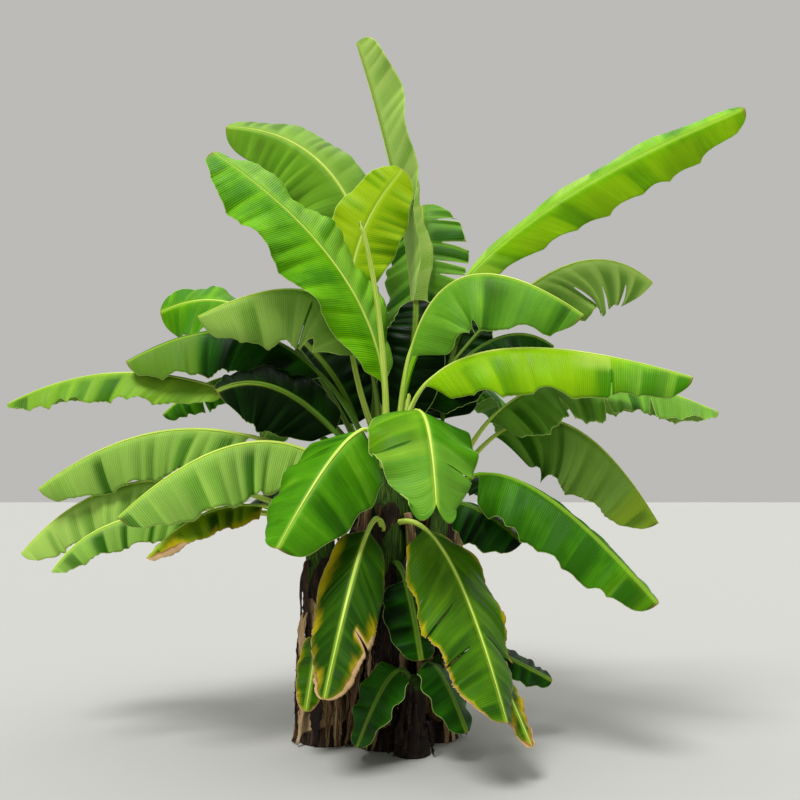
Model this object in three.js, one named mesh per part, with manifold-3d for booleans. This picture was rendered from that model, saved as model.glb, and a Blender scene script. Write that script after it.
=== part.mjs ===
// Japanese fiber banana: a clump of leafy stems that grow from one root, in millimetres with +Z up.
// The origin is the flat cut under the main stem, +X is to the right and +Y is to the back.
import * as THREE from "three";
import { mergeVertices } from "three/addons/utils/BufferGeometryUtils.js";
import Module from "manifold-3d";

const wasm = await Module();
wasm.setup();

// Driving dimensions of the stems
const CLEARANCE = 0.3; // air between a leaf and what carries it, or between two neighbours
const FLARE = 0.25; // how much wider a stem is where it meets the ground
const FLARE_HEIGHT = 140; // height over which the flare dies away
const STEM_SIDES = 14;
const STEM_RINGS = 9;
const RING_SPREAD = 1.5; // above 1 the rings lie closer together near the ground
const CROWN_SHARE = 0.62; // leaves that leave the crown stand on a circle of this share of its radius
const SIDE_SHARE = 0.85; // leaves lower down start this share of the radius from the stem's middle

// Driving dimensions that all leaves share
const STALK_RADIUS = 16; // leaf stalk where it leaves the stem
const STALK_TAPER = 0.35; // share of that radius lost by the time the stalk meets the blade
const STALK_ARC = 0.8; // share of a half turn that the stalk's section points spread over, top and bottom
const STALK_STEPS = 3;
const BLADE_STEPS = 8;
const LAST_STEP = 0.965; // one more ring close to the tip, where the blade is still broad
const THINNEST = 0.0105; // thickness of a blade as a share of the leaf's length
const RIB_DEPTH = 16; // how far the midrib stands out below the blade, at its thick end
const FULLNESS = 0.36; // smaller is a blade with blunter ends
const BLEND = 0.08; // share of the blade over which the stalk widens into it
const WAVE_HEIGHT = 0.09; // how far the margins swing up and down, as a share of the half-blade there
const WAVE_COUNT = 3.5; // swings along one margin
const CURL = 0.3; // share of a half-blade's fold that comes in towards its margin
const TEAR_DEPTH = 0.5; // a tear leaves this share of the half-blade next to the midrib
const TEAR_WIDTH = 0.014; // half the opening of a tear, as a share of the blade's length
const TEAR_ROOM = 0.028; // no other ring lies nearer to the middle of a tear than this
const ACROSS = [-1, -0.5, 0, 0.5, 1]; // places across the blade, from the left margin to the right

const GREEN = { fresh: 0x8fb93a, green: 0x5f9632, shade: 0x3f6f2a, old: 0x8a8b3c };
const LEAF_ROUGHNESS = 0.55;
const STEM_COLOUR = 0x7d6040;
const STEM_ROUGHNESS = 0.9;

// name: foot on the ground, sideways shift of the top, height, radius at the ground and at the top
const STEMS = {
  main: { foot: [0, 0], lean: [15, -20], height: 1330, radii: [118, 76] },
  left: { foot: [-262, 40], lean: [-45, 10], height: 1000, radii: [102, 60] },
  right: { foot: [214, 92], lean: [70, 20], height: 1180, radii: [94, 62] },
  back: { foot: [-50, 232], lean: [-10, 70], height: 1260, radii: [96, 66] },
  pup: { foot: [118, -184], lean: [12, -30], height: 330, radii: [62, 34] },
};

// The leaves under the stem that carries them, one to a row: name, height at which it leaves the stem, a
// place that its midrib passes over, tip, share of its length that is bare stalk, width of the blade, lean
// of its widest part towards the tip, roll of the blade about the midrib in degrees, which lifts its right
// half where it is above 0, how far it twists on from base to tip, folds of the right and the left half in
// degrees, and tint, which is green where none is given.
const LEAVES = {
  main: [
    ["tall_spear", 1330, [115, 200, 2165], [-165, 260, 3462], 0.3, 510, 1.3, 94, -30, [-12, 70], "fresh"],
    ["high_left", 1330, [-145, -170, 2015], [-770, -330, 2624], 0.17, 670, 1.5, 57, -14, [16, 0], "fresh"],
    ["high_glow", 1330, [-180, 80, 2090], [76, 20, 2680], 0.53, 385, 1.1, -67, 27, [11, 5], "fresh"],
    ["high_right", 1330, [442, -50, 2190], [1667, -200, 2888], 0.34, 360, 1.3, -70, -13, [32, 42], "fresh"],
    ["furled", 1330, [-27, -230, 1876], [-110, -370, 2292], 0.96, 24, 0.8, 0, 0, [0, 0], "fresh"],
    ["right_arch", 1330, [275, -200, 2042], [853, -400, 1867], 0.28, 562, 0.8, -42, -2, [36, 60]],
    ["left_grey", 1330, [-234, -150, 1976], [-826, -300, 1882], 0.3, 540, 0.95, 46, 11, [60, 38]],
    ["right_bright", 1290, [393, -250, 1721], [1294, -450, 1591], 0.21, 450, 0.8, -36, -1, [33, 60], "fresh"],
    ["front_centre", 1250, [155, -430, 1448], [205, -750, 1001], 0.37, 506, 0.65, 6, -2, [18, 21]],
    ["front_left", 1230, [-128, -350, 1362], [-410, -650, 893], 0.3, 514, 0.65, 22, -1, [32, 43]],
    ["left_dark", 1260, [-554, 0, 1843], [-1230, 0, 1729], 0.3, 450, 1.1, 42, -8, [60, 36], "shade"],
    ["left_far", 1200, [-994, 50, 1663], [-1825, 100, 1539], 0.4, 331, 0.95, 31, -14, [60, 31]],
    ["left_shade", 1150, [-414, -190, 1544], [-735, -300, 1553], 0.32, 420, 1.1, 75, -50, [37, 30], "shade"],
    ["left_low_top", 1080, [-868, 0, 1411], [-1616, 0, 1132], 0.37, 436, 1.05, 46, 18, [60, 38]],
    ["left_low_middle", 1040, [-533, -250, 1336], [-1097, -450, 1009], 0.29, 506, 0.8, 39, -8, [60, 34]],
    ["fallen_left", 940, [-84, -350, 916], [-223, -650, 328], 0.25, 300, 0.9, 10, -38, [19, 21], "old"],
    ["fallen_right", 980, [265, -350, 840], [458, -750, 267], 0.15, 440, 1.0, 4, 23, [18, 20], "old"],
    ["fallen_inner", 800, [95, -220, 715], [155, -330, 415], 0.3, 260, 0.8, 0, 0, [15, 15], "shade"],
    ["fallen_tip", 700, [300, -270, 660], [570, -600, 140], 0.4, 180, 0.8, 0, 0, [15, 15], "old"],
  ],
  left: [
    ["left_low_far", 1000, [-1128, 50, 1170], [-1723, 100, 829], 0.37, 415, 0.8, 43, -3, [60, 37]],
    ["left_low_end", 1000, [-1074, -100, 1020], [-1436, -250, 774], 0.41, 271, 0.75, 37, -3, [60, 34]],
    ["left_low_brown", 1000, [-690, -250, 1051], [-972, -450, 844], 0.31, 210, 0.75, 31, 0, [55, 33], "old"],
    ["left_foot", 500, [-290, -180, 480], [-330, -290, 200], 0.3, 150, 0.8, 10, 0, [15, 15], "old"],
  ],
  right: [
    ["right_ragged", 1180, [755, -50, 1618], [1522, -100, 1480], 0.22, 492, 0.55, -26, 23, [28, 60]],
    ["right_low_back", 1180, [784, 50, 1459], [1260, 0, 974], 0.22, 566, 0.75, -41, 6, [36, 50]],
    ["right_low_front", 1100, [600, -250, 1159], [1102, -500, 668], 0.17, 440, 0.7, -31, -4, [31, 50]],
    ["right_old", 1000, [365, -110, 1065], [610, -170, 900], 0.3, 330, 0.8, -30, 0, [30, 40], "shade"],
    ["heart_right", 1180, [301, 360, 1665], [459, 480, 2138], 0.32, 420, 0.9, -10, 0, [15, 15], "shade"],
    ["right_foot", 450, [430, 20, 430], [755, 0, 270], 0.4, 190, 0.8, -30, 0, [20, 20], "shade"],
    ["back_low_right", 1050, [500, 450, 1200], [850, 900, 900], 0.3, 400, 0.8, -20, 0, [20, 30], "shade"],
  ],
  back: [
    ["high_left_back", 1260, [-174, 250, 2548], [-877, 450, 3088], 0.5, 480, 0.8, 79, 1, [42, 17]],
    ["high_torn", 1260, [155, 410, 2110], [187, 660, 2721], 0.39, 504, 1.0, -3, -12, [12, 15]],
    ["right_torn", 1260, [735, 180, 2158], [1347, 250, 2174], 0.54, 590, 1.0, -42, -6, [38, 60]],
    ["right_inner", 1260, [430, 130, 1810], [830, 200, 1840], 0.3, 420, 0.8, -40, 0, [30, 40], "shade"],
    ["left_bright", 1260, [-584, 180, 1958], [-1160, 300, 2032], 0.55, 480, 1.0, 43, 57, [25, 12], "fresh"],
    ["left_ragged", 1260, [-620, 260, 1690], [-1140, 330, 1510], 0.35, 320, 0.8, 40, 0, [40, 35]],
    ["centre_dark", 1260, [99, 80, 1652], [143, 120, 2054], 0.3, 330, 0.9, -120, 0, [10, 10], "shade"],
    ["heart_left", 1260, [-215, 330, 1610], [-447, 420, 1911], 0.28, 400, 0.9, 65, 0, [15, 15], "shade"],
    ["back_high", 1260, [0, 700, 2050], [-60, 1300, 1850], 0.3, 460, 0.8, 0, 0, [20, 20]],
    ["back_left", 1200, [-400, 650, 1700], [-800, 1150, 1350], 0.3, 440, 0.8, 20, 0, [30, 20]],
    ["back_right", 1200, [400, 650, 1750], [850, 1100, 1350], 0.3, 440, 0.8, -20, 0, [20, 30]],
    ["back_low", 1080, [50, 750, 1300], [120, 1250, 750], 0.3, 420, 0.8, 0, 0, [25, 25], "shade"],
    ["back_low_left", 1000, [-400, 550, 1200], [-850, 850, 1000], 0.3, 380, 0.8, 20, 0, [30, 20], "shade"],
  ],
  pup: [
    ["pup_left", 330, [24, -270, 336], [-112, -350, 71], 0.16, 273, 0.8, 5, -21, [0, 2], "shade"],
    ["pup_right", 330, [216, -270, 383], [342, -350, 131], 0.19, 251, 0.65, -4, -16, [18, 16], "shade"],
  ],
};

// Tears in the blades, as shares of the blade's length, with a minus sign in the left half
const TEARS = {
  right_bright: [0.72],
  fallen_left: [-0.55],
  fallen_right: [-0.6, 0.65],
  right_ragged: [0.3, 0.5, 0.7],
  back_low_right: [-0.5],
  high_torn: [0.3, 0.5, 0.7],
  right_torn: [0.3, 0.55, 0.8],
  right_inner: [0.4],
  left_ragged: [-0.4, -0.7],
  back_high: [0.4, -0.6],
  back_left: [0.4, -0.6],
  back_right: [0.5, -0.4],
  back_low: [0.6, -0.5],
  back_low_left: [0.5],
};

const UP = new THREE.Vector3(0, 0, 1);
const radians = THREE.MathUtils.degToRad;

// The middle and the radius of a stem at a height above the ground.
function stemAt(stem, height) {
  const share = height / stem.height;
  const flare = 1 + FLARE * Math.exp(-height / FLARE_HEIGHT);
  const [x, y] = [0, 1].map((k) => stem.foot[k] + stem.lean[k] * share);
  return {
    centre: new THREE.Vector3(x, y, height),
    radius: THREE.MathUtils.lerp(stem.radii[0], stem.radii[1], share) * flare,
  };
}

// A closed solid through rings of points that turn anticlockwise as seen from the last ring.
function loft(rings) {
  const count = rings[0].length;
  const points = rings.flat();
  const middle = (ring) =>
    ring.reduce((sum, p) => sum.add(p), new THREE.Vector3()).divideScalar(count);
  points.push(middle(rings[0]), middle(rings.at(-1)));
  const first = points.length - 2;
  const faces = [];
  for (let j = 0; j < count; j++) {
    const next = (j + 1) % count;
    for (let k = 0; k + 1 < rings.length; k++) {
      const [a, b] = [k * count + j, k * count + next];
      const [c, d] = [a + count, b + count];
      // The second half of a ring lies under the first, and is split along the same diagonals.
      faces.push(...(j < count / 2 ? [a, b, d, a, d, c] : [a, b, c, b, d, c]));
    }
    const end = (rings.length - 1) * count;
    faces.push(first, next, j, first + 1, end + j, end + next);
  }
  const geometry = new THREE.BufferGeometry().setFromPoints(points).setIndex(faces);
  const merged = mergeVertices(geometry);
  return new wasm.Manifold(
    new wasm.Mesh({
      numProp: 3,
      vertProperties: merged.attributes.position.array,
      triVerts: new Uint32Array(merged.index.array),
    }),
  );
}

// A stem, larger by grow all round except below the ground.
function stemSolid(stem, grow) {
  const rings = [];
  for (let k = 0; k <= STEM_RINGS; k++) {
    const { centre, radius } = stemAt(stem, stem.height * (k / STEM_RINGS) ** RING_SPREAD);
    if (k === STEM_RINGS) centre.z += grow;
    rings.push(
      Array.from({ length: STEM_SIDES }, (_, j) => {
        const turn = (j / STEM_SIDES) * 2 * Math.PI;
        const out = new THREE.Vector3(Math.cos(turn), Math.sin(turn), 0);
        return centre.clone().addScaledVector(out, radius + grow);
      }),
    );
  }
  return loft(rings);
}

// The midrib: a curve from the stem that passes over a place half way and ends at the tip.
function midrib(stem, height, over, tip) {
  const { centre, radius } = stemAt(stem, height);
  const atCrown = height === stem.height;
  const out = over.clone().sub(centre).setZ(0).normalize();
  const start = centre.addScaledVector(out, radius * (atCrown ? CROWN_SHARE : SIDE_SHARE));
  if (atCrown) start.z -= STALK_RADIUS;
  const chordMiddle = start.clone().lerp(tip, 0.5);
  const pull = over.clone().multiplyScalar(2).sub(chordMiddle);
  return new THREE.QuadraticBezierCurve3(start, pull, tip);
}

function leafOf(row) {
  const [name, height, over, tip, stalk, width, lean, roll, twist, folds, tint = "green"] = row;
  return { name, height, over, tip, stalk, width, lean, roll, twist, folds, tint, tears: TEARS[name] ?? [] };
}

// Half the width of a blade at a share of its length, as a share of its widest half.
function outline(share, lean) {
  return Math.sin(Math.PI * share ** lean) ** FULLNESS;
}

// Places along the blade that get a ring, with three at each tear.
function bladePlaces(tears) {
  const even = Array.from({ length: BLADE_STEPS + 1 }, (_, k) => k / BLADE_STEPS);
  const middles = tears.map(Math.abs);
  const clear = [...even, LAST_STEP].filter((p) => middles.every((m) => Math.abs(m - p) > TEAR_ROOM));
  const torn = middles.flatMap((m) => [m - TEAR_WIDTH, m, m + TEAR_WIDTH]);
  return [...clear, ...torn].sort((a, b) => a - b);
}

// A leaf, larger by grow all round: a round stalk that widens into a thin folded blade with wavy margins.
function leafSolid(stem, leaf, grow) {
  const { height, over, tip, stalk, width, lean, roll, twist, folds, tears } = leaf;
  const end = new THREE.Vector3(...tip);
  const curve = midrib(stem, height, new THREE.Vector3(...over), end);
  const half = (THINNEST * curve.getLength()) / 2 + grow;
  const heading = end.clone().sub(curve.v0).setZ(0).normalize();
  const level = heading.cross(UP);
  const stations = [];
  for (let k = 0; k < STALK_STEPS; k++) stations.push({ along: (k / STALK_STEPS) * stalk, blade: 0 });
  for (const blade of bladePlaces(tears)) stations.push({ along: stalk + blade * (1 - stalk), blade });

  const rings = stations.map(({ along, blade }) => {
    const centre = curve.getPointAt(along);
    const ahead = curve.getTangentAt(along);
    const side = level.clone().addScaledVector(ahead, -level.dot(ahead)).normalize();
    side.applyAxisAngle(ahead, -radians(roll + twist * (blade - 0.5)));
    const normal = side.clone().cross(ahead);
    const flat = THREE.MathUtils.smoothstep(blade, 0, BLEND);
    const reach = (width / 2) * outline(blade, lean);
    const radius = STALK_RADIUS * (1 - STALK_TAPER * Math.min(along / stalk, 1)) + grow;
    const torn = (sign) => tears.some((t) => Math.sign(t) === sign && Math.abs(t) === blade);
    const top = [];
    const bottom = [];
    for (const t of ACROSS) {
      const sign = Math.sign(t);
      const share = Math.abs(t) * (torn(sign) ? TEAR_DEPTH : 1);
      const fold = [folds[1], Math.max(...folds), folds[0]][sign + 1];
      const angle = radians(fold) * (1 - CURL + CURL * share);
      const thick = half / Math.cos(angle); // so that a folded half is as thick as a flat one
      const far = Math.max(reach * share, half * (1 + share)) + grow;
      const swing = Math.sin(2 * Math.PI * WAVE_COUNT * blade + sign + roll); // out of step from leaf to leaf
      const wave = WAVE_HEIGHT * reach * share ** 2 * swing;
      const keel = t === 0 ? RIB_DEPTH * (1 - blade) : 0;
      const turn = (Math.PI / 2) * (1 - t * STALK_ARC);
      const place = (lift, roundSide) => {
        const leaf = centre
          .clone()
          .addScaledVector(side, sign * far * Math.cos(angle))
          .addScaledVector(normal, wave * flat - Math.abs(sign) * far * Math.sin(angle) + lift);
        const tube = centre
          .clone()
          .addScaledVector(side, Math.cos(turn) * radius)
          .addScaledVector(normal, roundSide * Math.sin(turn) * radius);
        return tube.lerp(leaf, flat);
      };
      top.push(place(thick, 1));
      bottom.unshift(place(-thick - keel, -1));
    }
    return [...top, ...bottom];
  });
  return loft(rings);
}

// The largest piece that is left of a solid once the others are cut from it.
function cutClear(solid, others) {
  const left = others.reduce((rest, other) => rest.subtract(other), solid);
  return left.decompose().reduce((a, b) => (a.volume() > b.volume() ? a : b));
}

function boxesMeet(a, b) {
  const [p, q] = [a.boundingBox(), b.boundingBox()];
  return [0, 1, 2].every((k) => p.min[k] < q.max[k] && q.min[k] < p.max[k]);
}

function meshOf(name, solid, colour, roughness) {
  const { vertProperties, triVerts } = solid.getMesh();
  const geometry = new THREE.BufferGeometry();
  geometry.setAttribute("position", new THREE.Float32BufferAttribute(vertProperties, 3));
  geometry.setIndex(new THREE.BufferAttribute(triVerts, 1));
  geometry.computeVertexNormals();
  const material = new THREE.MeshStandardMaterial({ color: colour, roughness, metalness: 0 });
  const mesh = new THREE.Mesh(geometry, material);
  mesh.name = name;
  return mesh;
}

const group = new THREE.Group();
const placed = []; // what is already there, a clearance larger all round

for (const [name, stem] of Object.entries(STEMS)) {
  const solid = cutClear(stemSolid(stem, 0), placed);
  group.add(meshOf(`stem_${name}`, solid, STEM_COLOUR, STEM_ROUGHNESS));
  placed.push(stemSolid(stem, CLEARANCE));
}

for (const [stemName, rows] of Object.entries(LEAVES)) {
  for (const leaf of rows.map(leafOf)) {
    const whole = leafSolid(STEMS[stemName], leaf, 0);
    const near = placed.filter((other) => boxesMeet(whole, other));
    group.add(meshOf(`leaf_${leaf.name}`, cutClear(whole, near), GREEN[leaf.tint], LEAF_ROUGHNESS));
    placed.push(leafSolid(STEMS[stemName], leaf, CLEARANCE));
  }
}

export default group;
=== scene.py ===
"""Japanese fiber banana: the looks of a clump of leafy stems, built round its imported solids.

The leaves and stems follow the rule of the solids, written again here and carried to a finer grain.
"""

import math

import bpy
import numpy as np
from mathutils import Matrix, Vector


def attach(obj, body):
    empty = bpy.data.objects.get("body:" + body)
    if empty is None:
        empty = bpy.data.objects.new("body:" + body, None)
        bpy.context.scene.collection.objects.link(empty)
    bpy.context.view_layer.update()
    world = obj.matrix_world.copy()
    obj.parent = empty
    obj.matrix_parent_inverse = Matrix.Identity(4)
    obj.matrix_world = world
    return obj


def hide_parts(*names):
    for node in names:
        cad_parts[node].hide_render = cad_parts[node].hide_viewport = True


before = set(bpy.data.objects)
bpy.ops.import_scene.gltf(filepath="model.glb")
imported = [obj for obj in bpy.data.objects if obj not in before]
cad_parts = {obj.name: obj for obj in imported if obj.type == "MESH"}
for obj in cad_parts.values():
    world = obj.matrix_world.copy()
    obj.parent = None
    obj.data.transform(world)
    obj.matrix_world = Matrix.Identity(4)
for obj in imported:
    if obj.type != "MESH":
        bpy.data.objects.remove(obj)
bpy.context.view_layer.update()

MM = 0.001

# Driving dimensions of the solids, in millimetres or as shares
FLARE = 0.25  # how much wider a stem is at the ground
FLARE_HEIGHT = 140
CROWN_SHARE = 0.62  # of the stem's radius, where a leaf starts on the crown
SIDE_SHARE = 0.85  # the same below the crown
STALK_RADIUS = 16
STALK_TAPER = 0.35
RIB_DEPTH = 16
FULLNESS = 0.36  # lower makes the blades fuller
BLEND = 0.08  # share of the blade over which the stalk widens into it
WAVE_HEIGHT = 0.09
WAVE_COUNT = 3.5
CURL = 0.3  # share of a fold that comes only towards the margin
TEAR_DEPTH = 0.5
TEAR_WIDTH = 0.014  # half of it, as a share of the length

# name: foot on the ground, sideways shift of the top, height, radius at the ground and at the top
STEMS = {
    "main": ((0, 0), (15, -20), 1330, (118, 76)),
    "left": ((-262, 40), (-45, 10), 1000, (102, 60)),
    "right": ((214, 92), (70, 20), 1180, (94, 62)),
    "back": ((-50, 232), (-10, 70), 1260, (96, 66)),
    "pup": ((118, -184), (12, -30), 330, (62, 34)),
}

# The leaves under the stem that carries them, one to a row: name, height at which it leaves the stem, a
# place that its midrib passes over, tip, share of its length that is bare stalk, width of the blade, lean
# of its widest part towards the tip, roll of the blade about the midrib in degrees, which lifts its right
# half where it is above 0, how far it twists on from base to tip, and folds of the right and the left half.
LEAVES = {
    "main": [
        ("tall_spear", 1330, (115, 200, 2165), (-165, 260, 3462), 0.3, 510, 1.3, 94, -30, (-12, 70)),
        ("high_left", 1330, (-145, -170, 2015), (-770, -330, 2624), 0.17, 670, 1.5, 57, -14, (16, 0)),
        ("high_glow", 1330, (-180, 80, 2090), (76, 20, 2680), 0.53, 385, 1.1, -67, 27, (11, 5)),
        ("high_right", 1330, (442, -50, 2190), (1667, -200, 2888), 0.34, 360, 1.3, -70, -13, (32, 42)),
        ("furled", 1330, (-27, -230, 1876), (-110, -370, 2292), 0.96, 24, 0.8, 0, 0, (0, 0)),
        ("right_arch", 1330, (275, -200, 2042), (853, -400, 1867), 0.28, 562, 0.8, -42, -2, (36, 60)),
        ("left_grey", 1330, (-234, -150, 1976), (-826, -300, 1882), 0.3, 540, 0.95, 46, 11, (60, 38)),
        ("right_bright", 1290, (393, -250, 1721), (1294, -450, 1591), 0.21, 450, 0.8, -36, -1, (33, 60)),
        ("front_centre", 1250, (155, -430, 1448), (205, -750, 1001), 0.37, 506, 0.65, 6, -2, (18, 21)),
        ("front_left", 1230, (-128, -350, 1362), (-410, -650, 893), 0.3, 514, 0.65, 22, -1, (32, 43)),
        ("left_dark", 1260, (-554, 0, 1843), (-1230, 0, 1729), 0.3, 450, 1.1, 42, -8, (60, 36)),
        ("left_far", 1200, (-994, 50, 1663), (-1825, 100, 1539), 0.4, 331, 0.95, 31, -14, (60, 31)),
        ("left_shade", 1150, (-414, -190, 1544), (-735, -300, 1553), 0.32, 420, 1.1, 75, -50, (37, 30)),
        ("left_low_top", 1080, (-868, 0, 1411), (-1616, 0, 1132), 0.37, 436, 1.05, 46, 18, (60, 38)),
        ("left_low_middle", 1040, (-533, -250, 1336), (-1097, -450, 1009), 0.29, 506, 0.8, 39, -8, (60, 34)),
        ("fallen_left", 940, (-84, -350, 916), (-223, -650, 328), 0.25, 300, 0.9, 10, -38, (19, 21)),
        ("fallen_right", 980, (265, -350, 840), (458, -750, 267), 0.15, 440, 1.0, 4, 23, (18, 20)),
        ("fallen_inner", 800, (95, -220, 715), (155, -330, 415), 0.3, 260, 0.8, 0, 0, (15, 15)),
        ("fallen_tip", 700, (300, -270, 660), (570, -600, 140), 0.4, 180, 0.8, 0, 0, (15, 15)),
    ],
    "left": [
        ("left_low_far", 1000, (-1128, 50, 1170), (-1723, 100, 829), 0.37, 415, 0.8, 43, -3, (60, 37)),
        ("left_low_end", 1000, (-1074, -100, 1020), (-1436, -250, 774), 0.41, 271, 0.75, 37, -3, (60, 34)),
        ("left_low_brown", 1000, (-690, -250, 1051), (-972, -450, 844), 0.31, 210, 0.75, 31, 0, (55, 33)),
        ("left_foot", 500, (-290, -180, 480), (-330, -290, 200), 0.3, 150, 0.8, 10, 0, (15, 15)),
    ],
    "right": [
        ("right_ragged", 1180, (755, -50, 1618), (1522, -100, 1480), 0.22, 492, 0.55, -26, 23, (28, 60)),
        ("right_low_back", 1180, (784, 50, 1459), (1260, 0, 974), 0.22, 566, 0.75, -41, 6, (36, 50)),
        ("right_low_front", 1100, (600, -250, 1159), (1102, -500, 668), 0.17, 440, 0.7, -31, -4, (31, 50)),
        ("right_old", 1000, (365, -110, 1065), (610, -170, 900), 0.3, 330, 0.8, -30, 0, (30, 40)),
        ("heart_right", 1180, (301, 360, 1665), (459, 480, 2138), 0.32, 420, 0.9, -10, 0, (15, 15)),
        ("right_foot", 450, (430, 20, 430), (755, 0, 270), 0.4, 190, 0.8, -30, 0, (20, 20)),
        ("back_low_right", 1050, (500, 450, 1200), (850, 900, 900), 0.3, 400, 0.8, -20, 0, (20, 30)),
    ],
    "back": [
        ("high_left_back", 1260, (-174, 250, 2548), (-877, 450, 3088), 0.5, 480, 0.8, 79, 1, (42, 17)),
        ("high_torn", 1260, (155, 410, 2110), (187, 660, 2721), 0.39, 504, 1.0, -3, -12, (12, 15)),
        ("right_torn", 1260, (735, 180, 2158), (1347, 250, 2174), 0.54, 590, 1.0, -42, -6, (38, 60)),
        ("right_inner", 1260, (430, 130, 1810), (830, 200, 1840), 0.3, 420, 0.8, -40, 0, (30, 40)),
        ("left_bright", 1260, (-584, 180, 1958), (-1160, 300, 2032), 0.55, 480, 1.0, 43, 57, (25, 12)),
        ("left_ragged", 1260, (-620, 260, 1690), (-1140, 330, 1510), 0.35, 320, 0.8, 40, 0, (40, 35)),
        ("centre_dark", 1260, (99, 80, 1652), (143, 120, 2054), 0.3, 330, 0.9, -120, 0, (10, 10)),
        ("heart_left", 1260, (-215, 330, 1610), (-447, 420, 1911), 0.28, 400, 0.9, 65, 0, (15, 15)),
        ("back_high", 1260, (0, 700, 2050), (-60, 1300, 1850), 0.3, 460, 0.8, 0, 0, (20, 20)),
        ("back_left", 1200, (-400, 650, 1700), (-800, 1150, 1350), 0.3, 440, 0.8, 20, 0, (30, 20)),
        ("back_right", 1200, (400, 650, 1750), (850, 1100, 1350), 0.3, 440, 0.8, -20, 0, (20, 30)),
        ("back_low", 1080, (50, 750, 1300), (120, 1250, 750), 0.3, 420, 0.8, 0, 0, (25, 25)),
        ("back_low_left", 1000, (-400, 550, 1200), (-850, 850, 1000), 0.3, 380, 0.8, 20, 0, (30, 20)),
    ],
    "pup": [
        ("pup_left", 330, (24, -270, 336), (-112, -350, 71), 0.16, 273, 0.8, 5, -21, (0, 2)),
        ("pup_right", 330, (216, -270, 383), (342, -350, 131), 0.19, 251, 0.65, -4, -16, (18, 16)),
    ],
}

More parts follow.
